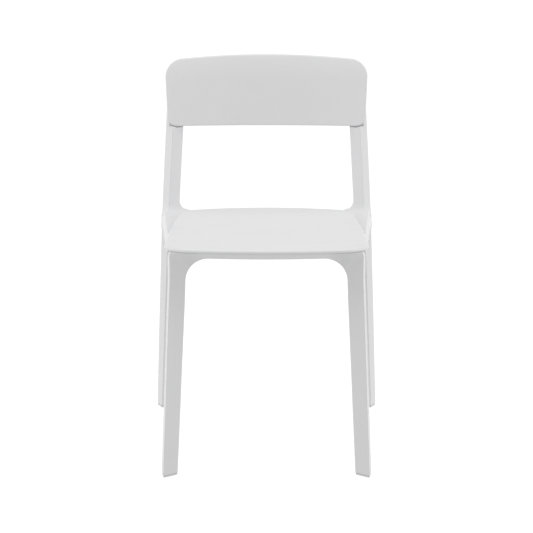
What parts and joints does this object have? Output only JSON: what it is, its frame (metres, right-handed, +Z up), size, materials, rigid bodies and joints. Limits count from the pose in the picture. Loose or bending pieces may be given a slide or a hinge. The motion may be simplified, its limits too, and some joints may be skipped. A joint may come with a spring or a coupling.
{
  "type": "stacking chair",
  "caption": "White moulded plastic stacking side chair with slim ridged legs, a flat square seat panel and a low curved backrest between open posts.",
  "frame": {"origin": "on the floor at the centre of the chair's footprint box", "axes": "+Z up, the chair faces -Y, +X to the sitter's left; the chair is symmetric about X = 0"},
  "size_m": [0.49, 0.5406, 0.782],
  "materials": {
    "frame_plastic": "satin moulded polypropylene, fine grain",
    "panel_plastic": "matte moulded polypropylene, fine grain",
    "glide_plastic": "smooth moulded polyamide",
    "pad_rubber": "soft matte elastomer",
    "fixing_steel": "zinc plated",
    "insert_brass": "turned"
  },
  "bodies": {
    "root": {"seat_shell": "panel_plastic", "backrest_shell": "panel_plastic", "front_frame": "frame_plastic", "rear_frame": "frame_plastic", "left_side_rail": "frame_plastic", "right_side_rail": "frame_plastic", "front_left_glide": "glide_plastic", "front_right_glide": "glide_plastic", "rear_left_glide": "glide_plastic", "rear_right_glide": "glide_plastic", "front_left_stack_pad": "pad_rubber", "front_right_stack_pad": "pad_rubber", "rear_left_stack_pad": "pad_rubber", "rear_right_stack_pad": "pad_rubber", "seat_screws": "fixing_steel", "backrest_screws": "fixing_steel", "backrest_screw_caps": "frame_plastic", "front_left_joint_bolts": "fixing_steel", "front_right_joint_bolts": "fixing_steel", "rear_left_joint_bolts": "fixing_steel", "rear_right_joint_bolts": "fixing_steel", "front_left_joint_inserts": "insert_brass", "front_right_joint_inserts": "insert_brass", "rear_left_joint_inserts": "insert_brass", "rear_right_joint_inserts": "insert_brass"}
  },
  "joints": []
}
